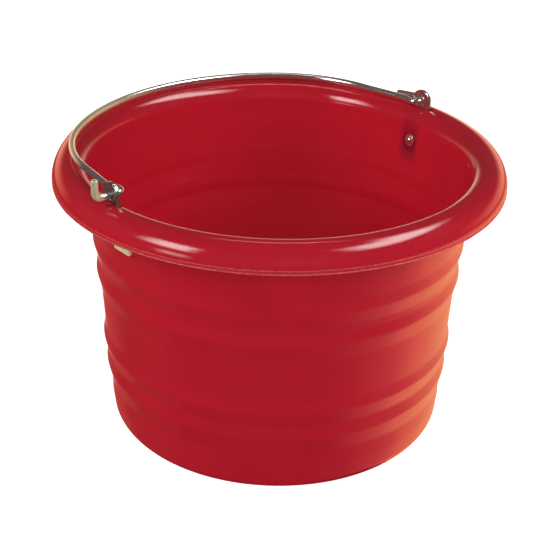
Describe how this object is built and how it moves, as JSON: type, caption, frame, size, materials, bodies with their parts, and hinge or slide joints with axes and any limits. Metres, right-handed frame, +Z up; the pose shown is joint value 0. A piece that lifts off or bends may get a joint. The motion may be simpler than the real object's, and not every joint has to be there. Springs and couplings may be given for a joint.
{
  "type": "feed bucket",
  "caption": "Round moulded stable feed bucket with hooped walls, a rolled rim, riveted steel ear straps and a folding round-wire bail.",
  "frame": {"origin": "centre of the foot, on the surface that the bucket stands on", "axes": "+Z up; +X along the bail's pivot axis towards the ear whose hook runs back beside the bail; +Y towards the side of the rim that the folded bail lies over"},
  "size_m": [0.4, 0.4, 0.2782],
  "materials": {
    "moulded_plastic": "deep red moulded polyethylene, satin gloss",
    "zinc_strap": "zinc-plated flat steel strip, lightly scuffed",
    "zinc_wire": "bright zinc-plated drawn steel wire",
    "rivet_metal": "bright domed rivet and washer"
  },
  "bodies": {
    "bucket": {"bucket": "moulded_plastic", "ear_strap_left": "zinc_strap", "ear_strap_right": "zinc_strap", "rivet_left": "rivet_metal", "rivet_right": "rivet_metal", "rivet_washer_left": "rivet_metal", "rivet_washer_right": "rivet_metal"},
    "bail": {"bail_handle": "zinc_wire"}
  },
  "joints": [
    {"name": "bail_swing", "type": "hinge", "parent": "bucket", "child": "bail", "pos_m": [0, 0, 0.262], "axis": [1, 0, 0], "range_deg": [0, 112]}
  ]
}
